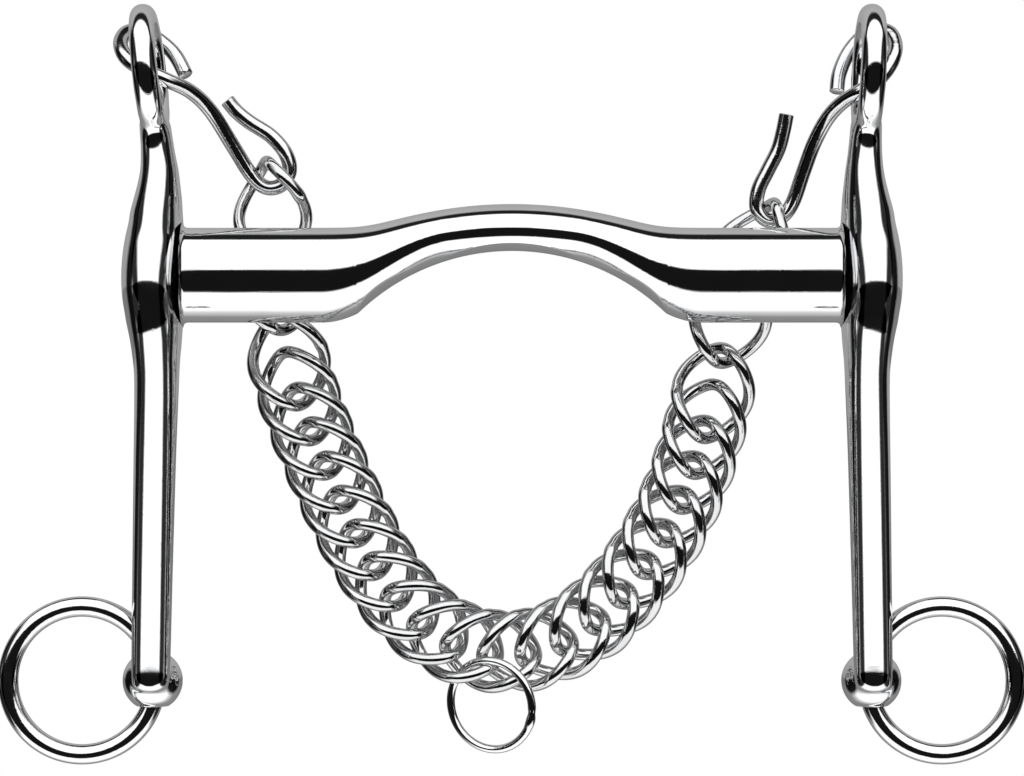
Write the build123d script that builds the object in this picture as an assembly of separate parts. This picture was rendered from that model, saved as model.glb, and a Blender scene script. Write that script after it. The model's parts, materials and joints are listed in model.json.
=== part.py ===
from build123d import *
from math import cos, pi, radians, sin, sqrt, tan
import os

# Curb bit with a ported mouthpiece, in millimetres.
# The origin is the centre of the mouthpiece. X runs along the mouthpiece and Z up the cheeks.
# The shanks sweep towards -Y, and the curb chain hangs behind the mouthpiece, at +Y.

# Mouthpiece
MOUTH_WIDTH = 125.0          # between the inner faces of the cheeks
BAR_RADIUS = 9.0
FLARE = 1.0                  # hollow fillet where the bar meets a cheek
PORT_RISE = 4.5              # how far the top of the port stands over the bar
PORT_HALF = 27.0             # half the length of the port along the bar
PORT_TOP_RADIUS = 7.4        # section radius at the middle of the port
PORT_STEP = 4.0              # spacing of the port's sections
PORT_STEPS = 8               # sections to each side of the middle
FOOT_BLEND = 1.6             # softening where the port leaves the straight bar
TONGUE_RADIUS = 42.0         # tongue groove seen from the front
TONGUE_CROWN = 4.6           # height of the groove's middle line at its crown
TONGUE_ROUND = 16.0          # front to back rounding of the groove
TONGUE_REACH = 12.0          # half the groove's front to back width

# Cheeks
CHEEK_FACE = MOUTH_WIDTH / 2
CHEEK_X = 66.8               # middle plane of a shank
EYE_Z = 38.7
EYE_RING = 10.4              # centreline radius of the eye's rim
EYE_RIM = 2.3                # section radius of the rim
LEAN_Z = 20.0                # the cheek leans outwards from this height up
LEAN = {"left": 6.2, "right": 2.8}
BOSS_RADIUS = 13.4
BOSS_INNER_EDGE = 3.0        # rounding towards the mouthpiece
BOSS_DOME = 7.5              # rounding of the domed outer face
DOME_X = 74.0                # crown of the dome
FOOT_EDGE = 2.0              # rounding of the shank's lower end

# Level elliptical sections of a cheek: height, middle Y, half thickness, half depth
NECK = [(28.5, 0.0, 1.8, 5.2), (23.5, -0.1, 2.7, 4.7), (13.0, -0.3, 3.5, 8.4), (1.0, -0.4, 3.7, 11.0)]
SHANK = [(-1.0, -1.2, 3.8, 11.6), (-15.0, -5.6, 3.8, 7.4), (-35.0, -10.6, 3.6, 5.2), (-76.5, -19.6, 3.1, 3.4)]

# Rein ring joint
BALL_RADIUS = 5.7
BALL_HOLE = 3.0              # radius of the upright hole through the ball
BALL_X = 67.1
BALL_Y = -11.9
BALL_Z = -76.0
REIN_RING = 13.8             # centreline radius
REIN_WIRE = 1.9
REIN_SAG = REIN_RING - sqrt(REIN_RING**2 - BALL_RADIUS**2)
REIN_X = BALL_X + REIN_RING - REIN_SAG / 2

# Curb hooks: bent wire, from the cut end of the loop round the eye to the tip
HOOK_WIRE = 1.45
HOOK_EDGE = 0.3              # rounding of the cut ends
BEND_SHARE = 0.94            # share of a wire's half runs that its bends take up
LEFT_HOOK = [
    (-62.6, 12.4, 38.4), (-65.5, 14.2, 43.4), (-70.0, 15.2, 46.9), (-73.9, 13.0, 47.4),
    (-75.2, 9.4, 45.0), (-73.8, 5.8, 41.8), (-70.5, 4.2, 39.4), (-66.4, 5.0, 37.6),
    (-61.6, 7.8, 35.4), (-57.9, 10.2, 31.8), (-53.9, 12.4, 25.4), (-50.4, 13.7, 19.8),
    (-47.6, 14.0, 17.4), (-44.7, 14.0, 17.8), (-43.0, 14.0, 20.6), (-43.8, 14.0, 24.0),
    (-46.6, 14.0, 27.3), (-50.6, 13.8, 29.9), (-53.2, 13.5, 32.0), (-55.2, 13.2, 34.4),
]
RIGHT_HOOK = [
    (62.6, 12.4, 35.3), (63.3, 13.8, 39.6), (65.6, 14.8, 44.2), (69.3, 14.6, 47.6),
    (72.6, 12.0, 47.2), (73.6, 9.0, 44.4), (72.6, 6.0, 41.0), (70.2, 4.2, 37.8),
    (66.9, 4.2, 35.5), (63.4, 6.6, 33.4), (60.6, 9.2, 30.4), (58.2, 11.2, 25.8),
    (56.2, 12.8, 20.2), (54.2, 13.8, 14.4), (52.0, 14.0, 11.6), (49.4, 14.0, 11.0),
    (47.4, 14.0, 13.2), (47.6, 14.0, 16.8), (49.4, 14.0, 20.6), (51.4, 14.0, 24.6),
    (52.4, 13.8, 28.2), (53.1, 13.6, 31.8),
]

# Curb chain: twisted links, each threaded through the next two, with single links at the ends
LINK_WIRE = 1.1
LINK_HALF_LENGTH = 8.9       # centreline
LINK_HALF_WIDTH = 7.0        # centreline
LINK_TWIST = 50.0            # turn of each end of a link about its length, degrees
LINK_CORNERS = 8             # bends round a link
CHAIN_Y = 14.0
SINGLE_PITCH = 14.9          # between the single links at each end
DOUBLE_LINKS = 21
CHAIN_ROUTE = [
    (-46.5, 13.5), (-45.3, -1.0), (-43.3, -15.5), (-35.0, -38.5), (-23.6, -59.6), (-14.8, -68.2),
    (-4.0, -72.2), (6.5, -71.2), (23.2, -58.5), (35.4, -35.3), (41.8, -9.4), (47.0, 6.2),
]
END_ROLL = (25.0, -30.0)     # turn of the first and last link about the chain, degrees

# Lip-strap ring, threaded through a link at the bottom of the chain
FLY_RING = 8.7               # centreline radius
FLY_WIRE = 0.8
FLY_MIDDLE = (-4.02, 12.04, -82.51)
FLY_YAW = -26.0
FLY_PITCH = 7.6


def port_top(x):
    """Height of the mouthpiece's upper outline, with a softened foot at each end of the port."""
    crown = BAR_RADIUS + PORT_RISE * (1 - (x / PORT_HALF) ** 2)
    overlap = max(FOOT_BLEND - abs(crown - BAR_RADIUS), 0)
    return max(crown, BAR_RADIUS) + overlap**2 / (4 * FOOT_BLEND)


def port_radius(x):
    """Section radius, which slims towards the middle of the port."""
    share = min(abs(x) / PORT_HALF, 1)
    return PORT_TOP_RADIUS + (BAR_RADIUS - PORT_TOP_RADIUS) * sin(share * pi / 2) ** 2


def tongue_wheel():
    """A waisted wheel that lies under the port, with its axle front to back."""
    edge = TONGUE_RADIUS + TONGUE_ROUND - sqrt(TONGUE_ROUND**2 - TONGUE_REACH**2)
    rim = ThreePointArc((edge, TONGUE_REACH), (TONGUE_RADIUS, 0), (edge, -TONGUE_REACH))
    hub = Polyline((edge, -TONGUE_REACH), (0, -TONGUE_REACH), (0, TONGUE_REACH), (edge, TONGUE_REACH))
    return Pos(0, 0, TONGUE_CROWN - TONGUE_RADIUS) * revolve(make_face([rim, hub]), Axis.Y)


def bar_end(side, start):
    """The straight bar from a station out to the cheek, with a hollow flare at the cheek."""
    corner = Polyline(
        (CHEEK_FACE, BAR_RADIUS + FLARE), (CHEEK_FACE, 0), (start, 0), (start, BAR_RADIUS),
        (CHEEK_FACE - FLARE, BAR_RADIUS),
    )
    hollow = JernArc((CHEEK_FACE - FLARE, BAR_RADIUS), (1, 0), FLARE, 90)
    bar = revolve(Plane.XZ * make_face([corner, hollow]), Axis.X)
    return bar if side > 0 else bar.mirror(Plane.YZ)


def make_mouthpiece():
    sections = []
    for step in range(-PORT_STEPS, PORT_STEPS + 1):
        x = step * PORT_STEP
        radius = port_radius(x)
        sections.append(Plane.YZ.offset(x) * Pos(0, port_top(x) - radius) * Circle(radius))
    start = PORT_STEPS * PORT_STEP
    bar = loft(sections).fuse(bar_end(1, start), bar_end(-1, start))
    return bar - tongue_wheel()


def lean_at(z, side):
    """How far a cheek has leaned outwards at a height."""
    return max(z - LEAN_Z, 0) * tan(radians(LEAN[side]))


def cheek_loft(rows, side):
    """A solid through level elliptical sections of a cheek."""
    return loft([
        Pos(CHEEK_X + lean_at(z, side), y, z) * Ellipse(half_x, half_y) for z, y, half_x, half_y in rows
    ])


def make_boss():
    """The round boss at the mouthpiece, with a domed outer face."""
    boss = Pos((CHEEK_FACE + DOME_X) / 2, 0, 0) * Rot(0, 90, 0) * Cylinder(BOSS_RADIUS, DOME_X - CHEEK_FACE)
    outer_edge = boss.edges().filter_by(GeomType.CIRCLE).sort_by(Axis.X)[-1]
    boss = fillet(outer_edge, BOSS_DOME)
    inner_edge = boss.edges().filter_by(GeomType.CIRCLE).sort_by(Axis.X)[0]
    return fillet(inner_edge, BOSS_INNER_EDGE)


def make_shank(side):
    """The shank from the boss down to its rounded foot."""
    shank = cheek_loft(SHANK, side)
    foot = shank.faces().sort_by(Axis.Z)[0]
    return fillet(foot.edges(), FOOT_EDGE)


def make_cheek(side):
    eye_place = Pos(CHEEK_X + lean_at(EYE_Z, side), 0, EYE_Z) * Rot(0, 90 + LEAN[side], 0)
    neck = cheek_loft(NECK, side) - eye_place * Cylinder(EYE_RING, 2 * BOSS_RADIUS)
    ball_place = Pos(BALL_X, BALL_Y, BALL_Z)
    cheek = make_boss().fuse(neck)
    for piece in (eye_place * Torus(EYE_RING, EYE_RIM), make_shank(side), ball_place * Sphere(BALL_RADIUS)):
        cheek = cheek.fuse(piece)
    cheek = cheek - ball_place * Cylinder(BALL_HOLE, 3 * BALL_RADIUS)
    return cheek.mirror(Plane.YZ) if side == "left" else cheek


def ring(place, radius, wire):
    """A round ring that faces the front before its place turns it."""
    return place * Rot(90, 0, 0) * Torus(radius, wire)


def bend_radii(points):
    """The radius of each bend of a wire, as large as the runs beside it allow."""
    runs = [(after - before).length for before, after in zip(points, points[1:])]
    room = [runs[0]] + [run / 2 for run in runs[1:-1]] + [runs[-1]]
    radii = []
    for corner in range(1, len(points) - 1):
        arriving = points[corner] - points[corner - 1]
        leaving = points[corner + 1] - points[corner]
        half_turn = radians(arriving.get_angle(leaving)) / 2
        radii.append(BEND_SHARE * min(room[corner - 1], room[corner]) / tan(half_turn))
    return radii


def bent_wire(points, wire):
    """Round wire bent through a route of points."""
    points = [Vector(*point) for point in points]
    path = FilletPolyline(*points, radius=bend_radii(points))
    return sweep(Plane(origin=path @ 0, z_dir=path % 0) * Circle(wire), path=path)


def make_hook(route):
    hook = bent_wire(route, HOOK_WIRE)
    cut_ends = hook.faces().filter_by(GeomType.PLANE)
    return fillet(cut_ends.edges(), HOOK_EDGE)


def link_point(angle):
    """A corner of a link's route: X along the chain, Y through its thickness, Z across it."""
    twist = radians(LINK_TWIST) * cos(angle)
    along = LINK_HALF_LENGTH * cos(angle) / cos(pi / LINK_CORNERS)
    across = LINK_HALF_WIDTH * sin(angle) / cos(pi / LINK_CORNERS)
    return Vector(along, across * sin(twist), across * cos(twist))


def make_link():
    """One twisted link, as two equal halves that meet at its ends."""
    corners = [link_point(pi * (2 * step - 1) / LINK_CORNERS) for step in range(LINK_CORNERS // 2 + 2)]
    start = (corners[0] + corners[1]) / 2
    end = (corners[-2] + corners[-1]) / 2
    half = bent_wire([start, *corners[1:-1], end], LINK_WIRE)
    return half + Rot(0, 180, 0) * half


def chain_planes():
    """Each link's place along the chain: origin at its middle, X along the chain, Y to the back."""
    route = Spline(*[(x, CHAIN_Y, z) for x, z in CHAIN_ROUTE])
    pitch = (route.length - 4 * SINGLE_PITCH) / (DOUBLE_LINKS - 1)
    stations = [0, SINGLE_PITCH]
    stations += [2 * SINGLE_PITCH + pitch * step for step in range(DOUBLE_LINKS)]
    stations += [route.length - SINGLE_PITCH, route.length]
    planes = []
    for station in stations:
        along = route.tangent_at(station, position_mode=PositionMode.LENGTH)
        middle = route.position_at(station, position_mode=PositionMode.LENGTH)
        planes.append(Plane(origin=middle, x_dir=along, z_dir=along.cross(Vector(0, 1, 0))))
    return planes


def main():
    parts = {
        "mouthpiece": make_mouthpiece(),
        "left_cheek": make_cheek("left"),
        "right_cheek": make_cheek("right"),
        "left_rein_ring": ring(Pos(-REIN_X, BALL_Y, BALL_Z), REIN_RING, REIN_WIRE),
        "right_rein_ring": ring(Pos(REIN_X, BALL_Y, BALL_Z), REIN_RING, REIN_WIRE),
        "left_curb_hook": make_hook(LEFT_HOOK),
        "right_curb_hook": make_hook(RIGHT_HOOK),
        "lip_strap_ring": ring(Pos(*FLY_MIDDLE) * Rot(0, 0, FLY_YAW) * Rot(FLY_PITCH, 0, 0), FLY_RING, FLY_WIRE),
    }
    link = make_link()
    planes = chain_planes()
    rolls = [END_ROLL[0]] + [0.0] * (len(planes) - 2) + [END_ROLL[1]]
    for number, (plane, roll) in enumerate(zip(planes, rolls), start=1):
        parts[f"chain_link_{number:02d}"] = plane * Rot(roll, 0, 0) * link
    os.makedirs("parts", exist_ok=True)
    for name, shape in parts.items():
        export_step(shape, f"parts/{name}.step")


main()
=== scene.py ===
import json
from math import cos, exp, log, pi, radians, sin, sqrt, tan

import bmesh
import bpy
import numpy as np
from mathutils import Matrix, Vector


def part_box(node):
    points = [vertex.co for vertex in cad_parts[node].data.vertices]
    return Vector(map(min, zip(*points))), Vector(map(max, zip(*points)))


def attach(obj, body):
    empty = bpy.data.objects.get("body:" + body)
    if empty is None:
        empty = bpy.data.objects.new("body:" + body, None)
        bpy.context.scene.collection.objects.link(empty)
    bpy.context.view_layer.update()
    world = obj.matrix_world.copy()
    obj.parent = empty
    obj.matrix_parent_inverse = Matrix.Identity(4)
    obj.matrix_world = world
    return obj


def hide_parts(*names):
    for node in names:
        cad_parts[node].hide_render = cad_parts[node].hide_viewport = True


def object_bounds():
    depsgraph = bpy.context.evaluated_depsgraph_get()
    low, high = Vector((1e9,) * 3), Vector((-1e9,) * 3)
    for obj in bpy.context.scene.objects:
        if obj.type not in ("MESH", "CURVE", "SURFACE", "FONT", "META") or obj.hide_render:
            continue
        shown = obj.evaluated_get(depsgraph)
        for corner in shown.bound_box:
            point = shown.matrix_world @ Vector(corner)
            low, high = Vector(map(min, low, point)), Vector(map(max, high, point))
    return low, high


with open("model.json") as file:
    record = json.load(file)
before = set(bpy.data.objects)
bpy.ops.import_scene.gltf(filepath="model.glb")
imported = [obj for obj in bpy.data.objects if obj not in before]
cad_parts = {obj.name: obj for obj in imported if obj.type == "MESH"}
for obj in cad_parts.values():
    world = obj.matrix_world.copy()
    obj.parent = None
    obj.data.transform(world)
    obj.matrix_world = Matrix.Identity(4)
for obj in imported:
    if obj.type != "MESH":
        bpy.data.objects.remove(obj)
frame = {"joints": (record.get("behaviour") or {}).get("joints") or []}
cad_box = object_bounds()

MM = 0.001

# Mouthpiece, in millimetres
MOUTH_HALF = 62.5            # half the width between the cheeks
BAR_RADIUS = 9.0
FLARE = 1.0                  # hollow fillet where the bar meets a cheek
PORT_RISE = 4.5
PORT_HALF = 27.0
PORT_DEPTH = 7.4             # half depth of the oval section at the top of the port
PORT_HEIGHT = 5.0            # half height of the same section
OVAL_FROM = 12.0             # the oval turns round between these two stations
OVAL_TO = 36.0
FOOT_BLEND = 0.7             # how gently the port rises out of the bar
TONGUE_RADIUS = 42.0         # the groove under the port, seen from the front
TONGUE_CROWN = 4.6           # height of its highest point
TONGUE_ROUND = 16.0          # rounding of its underside from front to back
PORT_STEP = 0.3
PORT_STEPS = 120
BAR_STEP = 2.65
BAR_STEPS = 9
FLARE_STEPS = 5
LEAST_CREASE = 0.05          # radians from straight down to the groove's edge
MOST_CREASE = 0.9 * pi
BAR_EDGE = 22.0              # degrees between faces that count as an edge

# Cheeks, in millimetres
CHEEK_X = 66.8
LEAN_Z = 20.0                # a cheek leans outward from this height up
LEAN = {"left": 6.2, "right": 2.8}
EYE_Z = 38.7
EYE_RING = 10.4
EYE_RIM = 2.5
# Level sections: height, shift of the middle to the outside, middle Y, half thickness, half depth
CHEEK = [
    (29.5, 0.0, 0.0, 2.9, 5.8),
    (23.5, 0.0, -0.1, 3.2, 5.3),
    (18.5, 0.1, -0.2, 3.8, 6.6),
    (14.5, 0.4, 0.2, 4.5, 8.3),
    (12.0, 0.7, 0.5, 4.9, 9.1),
    (10.0, 0.8, 0.9, 5.1, 9.7),
    (8.0, 1.0, 1.1, 5.4, 10.3),
    (5.0, 1.2, 0.85, 5.7, 11.45),
    (2.0, 1.3, 0.55, 5.85, 12.25),
    (-0.5, 1.35, 0.3, 5.85, 12.6),
    (-3.0, 1.3, 0.0, 5.8, 12.5),
    (-5.0, 1.2, -0.15, 5.7, 11.95),
    (-7.0, 1.05, -0.35, 5.5, 11.15),
    (-9.0, 0.9, -0.8, 5.3, 10.4),
    (-11.0, 0.7, -1.5, 5.0, 9.8),
    (-13.0, 0.5, -2.4, 4.75, 9.3),
    (-16.0, 0.3, -4.0, 4.4, 8.4),
    (-19.0, 0.1, -5.6, 4.2, 7.5),
    (-26.0, 0.0, -8.3, 4.05, 6.4),
    (-35.0, 0.0, -10.8, 3.95, 5.5),
    (-56.0, 0.0, -15.5, 3.75, 4.5),
    (-74.8, 0.0, -19.3, 3.55, 3.8),
    (-76.6, 0.0, -19.6, 3.1, 3.3),
    (-77.6, 0.0, -19.8, 2.0, 2.1),
]
SQUARENESS = 2.3             # 2 is an ellipse
VOXEL = 0.4
SMOOTHING = 22               # rounds of smoothing over the welds
POLISHING = 28               # rounds of evening out the shading
KEPT_EDGE = 25.0             # degrees by which a corner may differ before it counts as an edge

# Wires, in millimetres
BALL_RADIUS = 5.7
BALL_HOLE = 3.0              # radius of the upright hole through the ball
LINK_WIRE = 1.17
LINK_HALF_LENGTH = 8.9
LINK_HALF_WIDTH = 7.0
LINK_TWIST = 50.0
END_ROLL = {"link_01": 25.0, "link_25": -30.0}
FLY_RING = 8.7               # lip-strap ring, to the middle of its wire
FLY_WIRE = 0.8
FLY_PITCH = 7.6
FLY_YAW = -26.0
HOOK_WIRE = 1.45
HOOK_END = 0.82              # share of the wire's radius at a hook's cut ends
HOOK_END_RUN = 0.35          # share of the last step along the wire that the rounding takes
WIRE_EDGE = 50.0             # degrees between faces that count as an edge

# Marks of a weld on a ring: change in the wire's thickness, place and width in radians
LINK_WELD = [(0.08, 1.75, 0.10), (-0.07, 1.6, 0.05)]
FLY_WELD = [(0.16, -0.35, 0.13), (-0.14, -0.15, 0.06)]

HOOKS = {
    "left": [
        (-62.6, 12.4, 38.4), (-65.5, 14.2, 43.4), (-70.0, 15.2, 46.9), (-73.9, 13.0, 47.4),
        (-75.2, 9.4, 45.0), (-73.8, 5.8, 41.8), (-70.5, 4.2, 39.4), (-66.4, 5.0, 37.6),
        (-61.6, 7.8, 35.4), (-57.9, 10.2, 31.8), (-53.9, 12.4, 25.4), (-50.4, 13.7, 19.8),
        (-47.6, 14.0, 17.4), (-44.7, 14.0, 17.8), (-43.0, 14.0, 20.6), (-43.8, 14.0, 24.0),
        (-46.6, 14.0, 27.3), (-50.6, 13.8, 29.9), (-53.2, 13.5, 32.0), (-55.2, 13.2, 34.4),
    ],
    "right": [
        (62.6, 12.4, 35.3), (63.3, 13.8, 39.6), (65.6, 14.8, 44.2), (69.3, 14.6, 47.6),
        (72.6, 12.0, 47.2), (73.6, 9.0, 44.4), (72.6, 6.0, 41.0), (70.2, 4.2, 37.8),
        (66.9, 4.2, 35.5), (63.4, 6.6, 33.4), (60.6, 9.2, 30.4), (58.2, 11.2, 25.8),
        (56.2, 12.8, 20.2), (54.2, 13.8, 14.4), (52.0, 14.0, 11.6), (49.4, 14.0, 11.0),
        (47.4, 14.0, 13.2), (47.6, 14.0, 16.8), (49.4, 14.0, 20.6), (51.4, 14.0, 24.6),
        (52.4, 13.8, 28.2), (53.1, 13.6, 31.8),
    ],
}

# Camera and floor, in metres
CAMERA_DISTANCE = 0.75
CAMERA_HEIGHT = -0.0214
CAMERA_SEES = 0.1943         # width of the view at the mouthpiece
FLOOR_DROP = 0.12
FLOOR_RADIUS = 1.05

# Studio round the bit: degrees and brightness
UP_AND_OVER = [
    (-180, 0.2), (-125, 0.3), (-104, 0.75), (-94, 1.3), (-46, 1.3), (-41, 0.008), (10, 0.008), (14, 1.45),
    (92, 1.45), (97, 0.015), (113, 0.015), (120, 0.5), (180, 0.35),
]
TO_THE_SIDE = [(-180, 1.0), (46, 1.0), (56, 0.02), (78, 0.02), (90, 0.25)]


# ---------------------------------------------------------------- materials

def steel(name, tint, rough, scratch, pits):
    """Polished stainless steel: cloudy polish, fine scratches and small pits."""
    material = bpy.data.materials.new(name)
    material.use_nodes = True
    nodes, links = material.node_tree.nodes, material.node_tree.links
    shader = nodes["Principled BSDF"]
    shader.inputs["Metallic"].default_value = 1.0
    place = nodes.new("ShaderNodeTexCoord")

    def noise(scale, detail, stretch=(1, 1, 1)):
        mapping = nodes.new("ShaderNodeMapping")
        mapping.inputs["Scale"].default_value = stretch
        links.new(place.outputs["Object"], mapping.inputs["Vector"])
        texture = nodes.new("ShaderNodeTexNoise")
        texture.inputs["Scale"].default_value = scale
        texture.inputs["Detail"].default_value = detail
        links.new(mapping.outputs["Vector"], texture.inputs["Vector"])
        return texture.outputs["Fac"]

    def ramp(source, low, high, start=0.35, end=0.65):
        node = nodes.new("ShaderNodeMapRange")
        node.inputs["From Min"].default_value = start
        node.inputs["From Max"].default_value = end
        node.inputs["To Min"].default_value = low
        node.inputs["To Max"].default_value = high
        links.new(source, node.inputs["Value"])
        return node.outputs["Result"]

    colour = nodes.new("ShaderNodeMix")
    colour.data_type = "RGBA"
    colour.inputs["A"].default_value = (tint * 0.93, tint * 0.935, tint * 0.95, 1)
    colour.inputs["B"].default_value = (tint, tint, tint, 1)
    links.new(ramp(noise(90, 4), 0, 1), colour.inputs["Factor"])
    links.new(colour.outputs["Result"], shader.inputs["Base Color"])

    polish = nodes.new("ShaderNodeMath")
    links.new(ramp(noise(140, 5), rough * 0.6, rough * 1.3), polish.inputs[0])
    links.new(ramp(noise(500, 3, (0.12, 1, 1)), 0, rough * 0.5, 0.55, 0.75), polish.inputs[1])
    links.new(polish.outputs["Value"], shader.inputs["Roughness"])

    relief = nodes.new("ShaderNodeMath")
    links.new(ramp(noise(900, 2, (0.06, 1, 1)), 0, scratch, 0.5, 0.8), relief.inputs[0])
    links.new(ramp(noise(1500, 2), 0, pits, 0.62, 0.75), relief.inputs[1])
    bump = nodes.new("ShaderNodeBump")
    bump.inputs["Strength"].default_value = 0.25
    bump.inputs["Distance"].default_value = 0.00004
    links.new(relief.outputs["Value"], bump.inputs["Height"])
    links.new(bump.outputs["Normal"], shader.inputs["Normal"])
    return material


MATERIALS = {
    "mouthpiece_steel": steel("mouthpiece_steel", 0.88, 0.05, 0.5, 0.2),
    "cheek_steel": steel("cheek_steel", 0.88, 0.07, 0.4, 0.3),
    "ring_steel": steel("ring_steel", 0.86, 0.08, 0.7, 0.3),
    "hook_wire": steel("hook_wire", 0.72, 0.10, 1.0, 0.8),
    "chain_wire": steel("chain_wire", 0.68, 0.09, 0.9, 0.6),
}


# ---------------------------------------------------------------- mesh helpers

def add_mesh(name, vertices, faces, smooth_below=180.0):
    """A smooth-shaded mesh object from vertices in millimetres."""
    mesh = bpy.data.meshes.new(name)
    mesh.from_pydata([tuple(float(value) * MM for value in vertex) for vertex in vertices], [], faces)
    mesh.validate()
    tidy = bmesh.new()
    tidy.from_mesh(mesh)
    bmesh.ops.recalc_face_normals(tidy, faces=tidy.faces)
    for face in tidy.faces:
        face.smooth = True
    for edge in tidy.edges:
        edge.smooth = not edge.is_manifold or edge.calc_face_angle(0) < radians(smooth_below)
    tidy.to_mesh(mesh)
    tidy.free()
    obj = bpy.data.objects.new(name, mesh)
    bpy.context.scene.collection.objects.link(obj)
    return obj


def finish_piece(obj, node, body, slot):
    """Gives a piece its material and its body, and hides the CAD node that it stands for."""
    obj.data.materials.clear()
    obj.data.materials.append(MATERIALS[slot])
    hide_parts(node)
    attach(obj, body)


def bridge(rings, closed_rows):
    """Faces between rings of equally many points, with flat ends unless the rows close on themselves."""
    count = len(rings[0])
    rows = len(rings)
    faces = []
    for row in range(rows if closed_rows else rows - 1):
        here, there = row * count, (row + 1) % rows * count
        for step in range(count):
            following = (step + 1) % count
            faces.append((here + step, here + following, there + following, there + step))
    if not closed_rows:
        faces.append(tuple(range(count)))
        faces.append(tuple((rows - 1) * count + step for step in range(count)))
    return [vertex for ring in rings for vertex in ring], faces


def curve_through(points, per_run):
    """A smooth curve through a route's points."""
    points = np.array(points, float)
    padded = np.vstack([2 * points[0] - points[1], points, 2 * points[-1] - points[-2]])
    out = []
    for before, start, end, after in zip(padded, padded[1:], padded[2:], padded[3:]):
        straight = end - before
        bend = 2 * before - 5 * start + 4 * end - after
        twist = 3 * start - before - 3 * end + after
        for step in range(per_run):
            t = step / per_run
            out.append(0.5 * (2 * start + straight * t + bend * t**2 + twist * t**3))
    out.append(points[-1])
    return np.array(out)


def tube(name, centreline, radii, closed, sides=28):
    """Round wire along a centreline. Its section is carried along without twist."""
    centreline = np.array(centreline, float)
    count = len(centreline)
    if closed:
        along = np.roll(centreline, -1, axis=0) - np.roll(centreline, 1, axis=0)
    else:
        along = np.gradient(centreline, axis=0)
    along /= np.linalg.norm(along, axis=1)[:, None]
    across = [np.cross(along[0], (0.3, 0.5, 0.81))]
    for tangent in along[1:]:
        carried = across[-1] - tangent * (across[-1] @ tangent)
        across.append(carried / np.linalg.norm(carried))
    across[0] /= np.linalg.norm(across[0])
    slip = 0.0
    if closed:
        last = across[-1] - along[0] * (across[-1] @ along[0])
        last /= np.linalg.norm(last)
        slip = np.arctan2(np.cross(last, across[0]) @ along[0], last @ across[0])
    rings = []
    for row in range(count):
        first = across[row]
        second = np.cross(along[row], first)
        turn = slip * row / count
        rings.append([
            centreline[row] + radii[row] * (cos(angle) * first + sin(angle) * second)
            for angle in (turn + 2 * pi * side / sides for side in range(sides))
        ])
    return add_mesh(name, *bridge(rings, closed), smooth_below=WIRE_EDGE)


# ---------------------------------------------------------------- mouthpiece

def port_top(x):
    """Height of the bar's upper side, with a gentle foot to the port."""
    return BAR_RADIUS + FOOT_BLEND * log(1 + exp(PORT_RISE * (1 - (x / PORT_HALF) ** 2) / FOOT_BLEND))


def bar_halves(x):
    """Half depth and half height of the bar at a station."""
    share = min(max((abs(x) - OVAL_FROM) / (OVAL_TO - OVAL_FROM), 0), 1)
    share = share**2 * (3 - 2 * share)
    into_flare = max(abs(x) - (MOUTH_HALF - FLARE), 0) / FLARE
    flare = FLARE * (1 - sqrt(max(1 - into_flare**2, 0)))
    return (PORT_DEPTH + (BAR_RADIUS - PORT_DEPTH) * share + flare,
            PORT_HEIGHT + (BAR_RADIUS - PORT_HEIGHT) * share + flare)


def groove_height(x, y):
    """Height of the tongue groove over a point of the plan, or far below the bar outside it."""
    reach = TONGUE_RADIUS + TONGUE_ROUND - sqrt(TONGUE_ROUND**2 - y**2)
    rest = reach**2 - x**2
    return TONGUE_CROWN - TONGUE_RADIUS + sqrt(rest) if rest > 0 else -100.0


def crease_angle(x, deep, tall, middle):
    """Angle from straight down to where the groove cuts the oval, found by halving."""
    def is_cut(angle):
        return groove_height(x, deep * sin(angle)) > middle - tall * cos(angle)

    low, high = LEAST_CREASE, MOST_CREASE
    if not is_cut(low):
        return low
    for _ in range(40):
        half = (low + high) / 2
        if is_cut(half):
            low = half
        else:
            high = half
    return low


def mouthpiece_section(x, over=72, under=24):
    """The bar's outline at a station: oval over the top, and hollowed from below in the port."""
    deep, tall = bar_halves(x)
    middle = port_top(x) - min(tall, BAR_RADIUS)
    crease = crease_angle(x, deep, tall, middle)
    outline = []
    for step in range(over + 1):
        angle = crease + (2 * pi - 2 * crease) * step / over
        outline.append((x, deep * sin(angle), middle - tall * cos(angle)))
    edge = deep * sin(crease)
    for step in range(1, under):
        y = -edge + 2 * edge * step / under
        bottom = middle - tall * sqrt(1 - (y / deep) ** 2)
        outline.append((x, y, max(bottom, groove_height(x, y))))
    return outline


def make_mouthpiece():
    """The bar, with close stations over the port and at the flares."""
    near = [step * PORT_STEP for step in range(PORT_STEPS + 1)]
    far = [OVAL_TO + step * BAR_STEP for step in range(1, BAR_STEPS + 1)]
    flare = [MOUTH_HALF - FLARE * (1 - step / FLARE_STEPS) for step in range(FLARE_STEPS + 1)]
    half = near + far + flare
    stations = [-x for x in reversed(half[1:])] + half
    rings = [mouthpiece_section(x) for x in stations]
    piece = add_mesh("mouthpiece_bar", *bridge(rings, False), smooth_below=BAR_EDGE)
    finish_piece(piece, "mouthpiece", "bit", "mouthpiece_steel")


# ---------------------------------------------------------------- cheeks

def cheek_x(z, side):
    """Distance of a cheek's middle from the centre of the bit."""
    return CHEEK_X + max(z - LEAN_Z, 0) * tan(radians(LEAN[side]))


def rounded(angle, half_x, half_y):
    """A point of a squarish oval."""
    across, along = cos(angle), sin(angle)
    power = 2 / SQUARENESS
    return (half_x * abs(across) ** power * (1 if across > 0 else -1),
            half_y * abs(along) ** power * (1 if along > 0 else -1))


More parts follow.
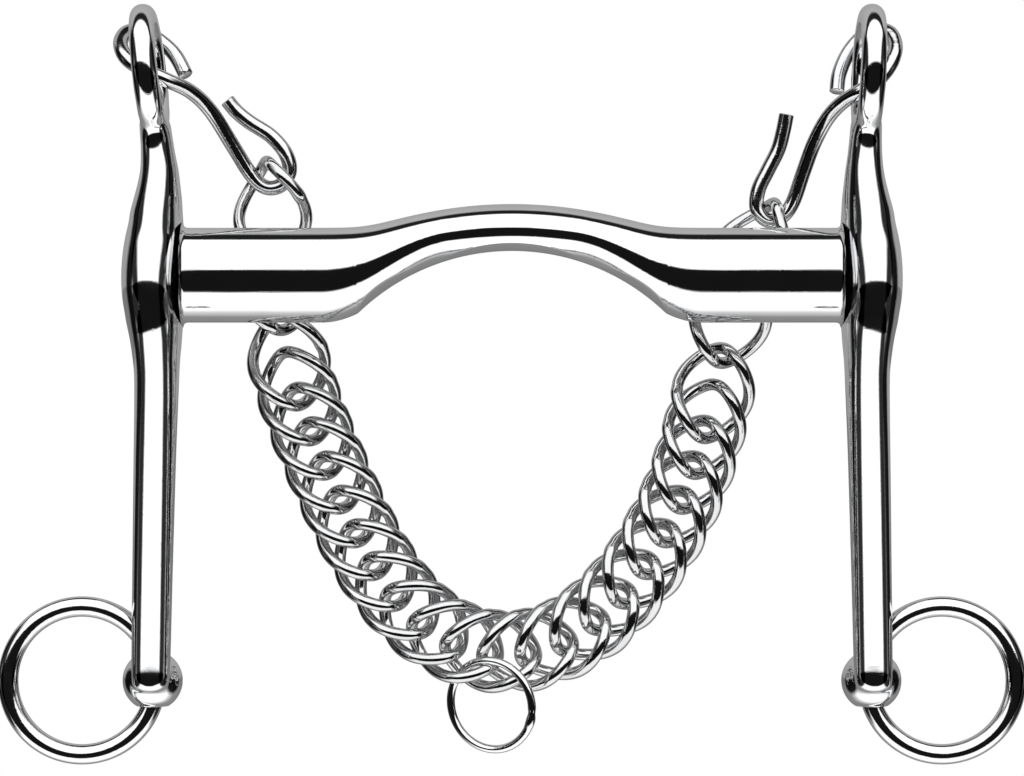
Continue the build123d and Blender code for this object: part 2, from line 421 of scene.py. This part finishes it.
def cheek_loft(side, count=64):
    """Neck, boss and shank in one skin."""
    rings = []
    for z, shift, y, half_x, half_y in curve_through(CHEEK, 10):
        oval = [rounded(2 * pi * (step + 0.5) / count, half_x, half_y) for step in range(count)]
        rings.append([(cheek_x(z, side) + shift + dx, y + dy, z) for dx, dy in oval])
    return bridge(rings, False)


def eye_torus(side, rows=72, count=32):
    """The eye at the top, leaning with its cheek."""
    lean = radians(LEAN[side])
    rings = []
    for row in range(rows):
        turn = 2 * pi * row / rows
        ring = []
        for step in range(count):
            angle = 2 * pi * step / count
            reach = EYE_RING + EYE_RIM * cos(angle)
            x, z = EYE_RIM * sin(angle), reach * sin(turn)
            ring.append((cheek_x(EYE_Z, side) + x * cos(lean) + z * sin(lean), reach * cos(turn),
                         EYE_Z + z * cos(lean) - x * sin(lean)))
        rings.append(ring)
    return bridge(rings, True)


def ball_sphere(centre, rows=24, count=36):
    """The ball behind a shank's foot."""
    x, y, z = centre
    turns = [2 * pi * step / count for step in range(count)]
    rings = []
    for row in range(1, rows):
        height = -cos(pi * row / rows) * BALL_RADIUS
        reach = sin(pi * row / rows) * BALL_RADIUS
        rings.append([(x + reach * cos(turn), y + reach * sin(turn), z + height) for turn in turns])
    return bridge(rings, False)


def cut_hole(obj, centre):
    """Drills the upright hole that the rein ring swivels in."""
    bpy.ops.mesh.primitive_cylinder_add(vertices=64, radius=BALL_HOLE * MM, depth=3 * BALL_RADIUS * MM,
                                        location=[value * MM for value in centre])
    drill = bpy.context.object
    cut = obj.modifiers.new("hole", "BOOLEAN")
    cut.object = drill
    cut.operation = "DIFFERENCE"
    cut.solver = "EXACT"
    apply_modifiers(obj)
    bpy.data.objects.remove(drill)


def apply_modifiers(obj):
    """Makes what the modifiers show the object's own mesh."""
    mesh = bpy.data.meshes.new_from_object(obj.evaluated_get(bpy.context.evaluated_depsgraph_get()))
    obj.modifiers.clear()
    obj.data = mesh


def polish(obj):
    """Evens out the shading normals along the surface, and leaves real edges as they are."""
    mesh = obj.data
    mesh.set_sharp_from_angle(angle=radians(KEPT_EDGE))
    edges = np.empty(len(mesh.edges) * 2, int)
    mesh.edges.foreach_get("vertices", edges)
    start, end = edges.reshape(-1, 2).T
    normals = np.array([vertex.normal for vertex in mesh.vertices])
    for _ in range(POLISHING):
        total = normals.copy()
        np.add.at(total, start, normals[end])
        np.add.at(total, end, normals[start])
        normals = total / np.linalg.norm(total, axis=1)[:, None]
    corners = np.empty(len(mesh.loops) * 3, np.float32)
    mesh.corner_normals.foreach_get("vector", corners)
    corners = corners.reshape(-1, 3)
    owners = np.empty(len(mesh.loops), int)
    mesh.loops.foreach_get("vertex_index", owners)
    even = normals[owners]
    edge = (corners * even).sum(axis=1) < cos(radians(KEPT_EDGE))
    even[edge] = corners[edge]
    mesh.normals_split_custom_set([tuple(normal) for normal in even])


def make_cheek(side):
    """One forging, built on the right and turned over for the left."""
    swivel = next(joint for joint in frame["joints"] if joint["name"] == "right_rein_swivel")
    ball = [value / MM for value in swivel["pos_m"]]
    vertices, faces = [], []
    for part_vertices, part_faces in (cheek_loft(side), eye_torus(side), ball_sphere(ball)):
        start = len(vertices)
        vertices += list(part_vertices)
        faces += [tuple(start + index for index in face) for face in part_faces]
    piece = add_mesh(f"{side}_cheek_forging", vertices, faces)
    remesh = piece.modifiers.new("weld", "REMESH")
    remesh.mode = "VOXEL"
    remesh.voxel_size = VOXEL * MM
    smooth = piece.modifiers.new("polish", "SMOOTH")
    smooth.factor = 0.5
    smooth.iterations = SMOOTHING
    apply_modifiers(piece)
    cut_hole(piece, ball)
    if side == "left":
        for vertex in piece.data.vertices:
            vertex.co.x = -vertex.co.x
        piece.data.flip_normals()
    for polygon in piece.data.polygons:
        polygon.use_smooth = True
    polish(piece)
    finish_piece(piece, f"{side}_cheek", "bit", "cheek_steel")


# ---------------------------------------------------------------- rings, hooks and chain

def weld(turn, marks):
    """Thickness of a ring's wire at a place round it, as a share of the plain wire."""
    share = 1.0
    for change, place, width in marks:
        offset = (turn - place + pi) % (2 * pi) - pi
        share += change * exp(-(offset / width) ** 2)
    return share


def make_rein_ring(side, steps=160):
    """A plain round ring, as large as its CAD part."""
    low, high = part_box(f"{side}_rein_ring")
    middle = (np.array(low) + np.array(high)) / 2 / MM
    wire = (high[1] - low[1]) / 2 / MM
    radius = (high[0] - low[0]) / 2 / MM - wire
    turns = [2 * pi * step / steps for step in range(steps)]
    line = [middle + radius * np.array((cos(turn), 0, sin(turn))) for turn in turns]
    piece = tube(f"{side}_rein_ring_wire", line, [wire] * len(line), True, 32)
    finish_piece(piece, f"{side}_rein_ring", f"{side}_rein", "ring_steel")


def make_lip_ring(steps=120):
    """The lip-strap ring, turned to hang through its link, with the marks of its joint."""
    low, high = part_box("lip_strap_ring")
    middle = (np.array(low) + np.array(high)) / 2 / MM
    yaw, pitch = radians(FLY_YAW), radians(FLY_PITCH)
    level = np.array((cos(yaw), sin(yaw), 0))
    up = np.array((sin(pitch) * sin(yaw), -sin(pitch) * cos(yaw), cos(pitch)))
    turns = [2 * pi * step / steps for step in range(steps)]
    line = [middle + FLY_RING * (cos(turn) * level + sin(turn) * up) for turn in turns]
    radii = [FLY_WIRE * weld(turn, FLY_WELD) for turn in turns]
    piece = tube("lip_strap_ring_wire", line, radii, True, 24)
    finish_piece(piece, "lip_strap_ring", "lip_ring", "ring_steel")


def make_hook(side):
    """A curb hook of bent wire, with its cut ends rounded off."""
    line = curve_through(HOOKS[side], 8)
    radii = np.full(len(line), HOOK_WIRE)
    radii[0] = radii[-1] = HOOK_WIRE * HOOK_END
    line[0] = line[1] + (line[0] - line[1]) * HOOK_END_RUN
    line[-1] = line[-2] + (line[-1] - line[-2]) * HOOK_END_RUN
    piece = tube(f"{side}_curb_hook_wire", line, radii, False)
    finish_piece(piece, f"{side}_curb_hook", f"{side}_hook", "hook_wire")


def make_link(joint, steps=96):
    """One twisted link about its place on the chain, with the marks of its weld."""
    body = joint["child"]
    middle = np.array(joint["pos_m"]) / MM
    along = np.array(joint["axis"], float)
    back = np.array((0.0, 1.0, 0.0))
    up = np.cross(along, back)
    roll = radians(END_ROLL.get(body, 0.0))
    thick = cos(roll) * back + sin(roll) * up
    wide = np.cross(along, thick)
    line, radii = [], []
    for step in range(steps):
        angle = 2 * pi * step / steps
        twist = radians(LINK_TWIST) * cos(angle)
        across = LINK_HALF_WIDTH * sin(angle)
        line.append(middle + LINK_HALF_LENGTH * cos(angle) * along
                    + across * (sin(twist) * thick + cos(twist) * wide))
        radii.append(LINK_WIRE * weld(angle, LINK_WELD))
    node = body.replace("link_", "chain_link_")
    piece = tube(f"{node}_wire", line, radii, True, 20)
    finish_piece(piece, node, body, "chain_wire")


# ---------------------------------------------------------------- studio

def make_world():
    """A dark studio with wide soft boxes above and below the lens and a pale wall behind the bit."""
    world = bpy.data.worlds.new("studio")
    bpy.context.scene.world = world
    world.use_nodes = True
    nodes, links = world.node_tree.nodes, world.node_tree.links
    nodes.clear()
    place = nodes.new("ShaderNodeTexCoord")
    split = nodes.new("ShaderNodeSeparateXYZ")
    links.new(place.outputs["Generated"], split.inputs["Vector"])

    def math(operation, first, second=0.0):
        node = nodes.new("ShaderNodeMath")
        node.operation = operation
        for socket, value in zip(node.inputs, (first, second)):
            if isinstance(value, (int, float)):
                socket.default_value = value
            else:
                links.new(value, socket)
        return node.outputs["Value"]

    def bands(source, stops):
        node = nodes.new("ShaderNodeValToRGB")
        ramp = node.color_ramp
        while len(ramp.elements) < len(stops):
            ramp.elements.new(0.5)
        for element, (angle, level) in zip(ramp.elements, stops):
            element.position = (angle + 180) / 360
            element.color = (level, level, level, 1)
        links.new(math("DIVIDE", math("ADD", source, pi), 2 * pi), node.inputs["Fac"])
        return node.outputs["Color"]

    tilt = math("ARCTAN2", split.outputs["Z"], math("MULTIPLY", split.outputs["Y"], -1.0))
    squares = math("ADD", math("POWER", split.outputs["Y"], 2.0), math("POWER", split.outputs["Z"], 2.0))
    depth = math("SQRT", squares)
    swing = math("ARCTAN2", math("ABSOLUTE", split.outputs["X"]), depth)
    upright = bands(tilt, UP_AND_OVER)
    sideways = bands(swing, TO_THE_SIDE)
    mixed = nodes.new("ShaderNodeMix")
    mixed.data_type = "RGBA"
    mixed.blend_type = "MULTIPLY"
    mixed.inputs["Factor"].default_value = 1.0
    links.new(upright, mixed.inputs["A"])
    links.new(sideways, mixed.inputs["B"])
    studio = nodes.new("ShaderNodeBackground")
    links.new(mixed.outputs["Result"], studio.inputs["Color"])
    paper = nodes.new("ShaderNodeBackground")
    paper.inputs["Color"].default_value = (1, 1, 1, 1)
    path = nodes.new("ShaderNodeLightPath")
    choose = nodes.new("ShaderNodeMixShader")
    links.new(path.outputs["Is Camera Ray"], choose.inputs["Fac"])
    links.new(studio.outputs["Background"], choose.inputs[1])
    links.new(paper.outputs["Background"], choose.inputs[2])
    out = nodes.new("ShaderNodeOutputWorld")
    links.new(choose.outputs["Shader"], out.inputs["Surface"])


def make_floor():
    """A pale round floor under the hanging bit."""
    bpy.ops.mesh.primitive_circle_add(vertices=96, radius=FLOOR_RADIUS, fill_type="NGON",
                                      location=(0, 0, cad_box[0][2] - FLOOR_DROP))
    floor = bpy.context.object
    floor.name = "floor"
    material = bpy.data.materials.new("paper")
    material.use_nodes = True
    shader = material.node_tree.nodes["Principled BSDF"]
    shader.inputs["Base Color"].default_value = (0.94, 0.94, 0.94, 1)
    shader.inputs["Roughness"].default_value = 0.9
    shader.inputs["Emission Color"].default_value = (1, 1, 1, 1)
    shader.inputs["Emission Strength"].default_value = 0.2
    floor.data.materials.append(material)
    floor.visible_glossy = False


def make_camera():
    """A long lens, level and square on, a little below the mouthpiece."""
    data = bpy.data.cameras.new("camera")
    data.lens = data.sensor_width * CAMERA_DISTANCE / CAMERA_SEES
    data.clip_start = 0.01
    camera = bpy.data.objects.new("camera", data)
    camera.location = (0, -CAMERA_DISTANCE, CAMERA_HEIGHT)
    camera.rotation_euler = (pi / 2, 0, 0)
    bpy.context.scene.collection.objects.link(camera)
    bpy.context.scene.camera = camera


make_mouthpiece()
for side in ("left", "right"):
    make_cheek(side)
    make_rein_ring(side)
    make_hook(side)
for joint in frame["joints"]:
    if joint["child"].startswith("link_"):
        make_link(joint)
make_lip_ring()
make_world()
make_floor()
make_camera()
bpy.context.scene.view_settings.view_transform = "Standard"
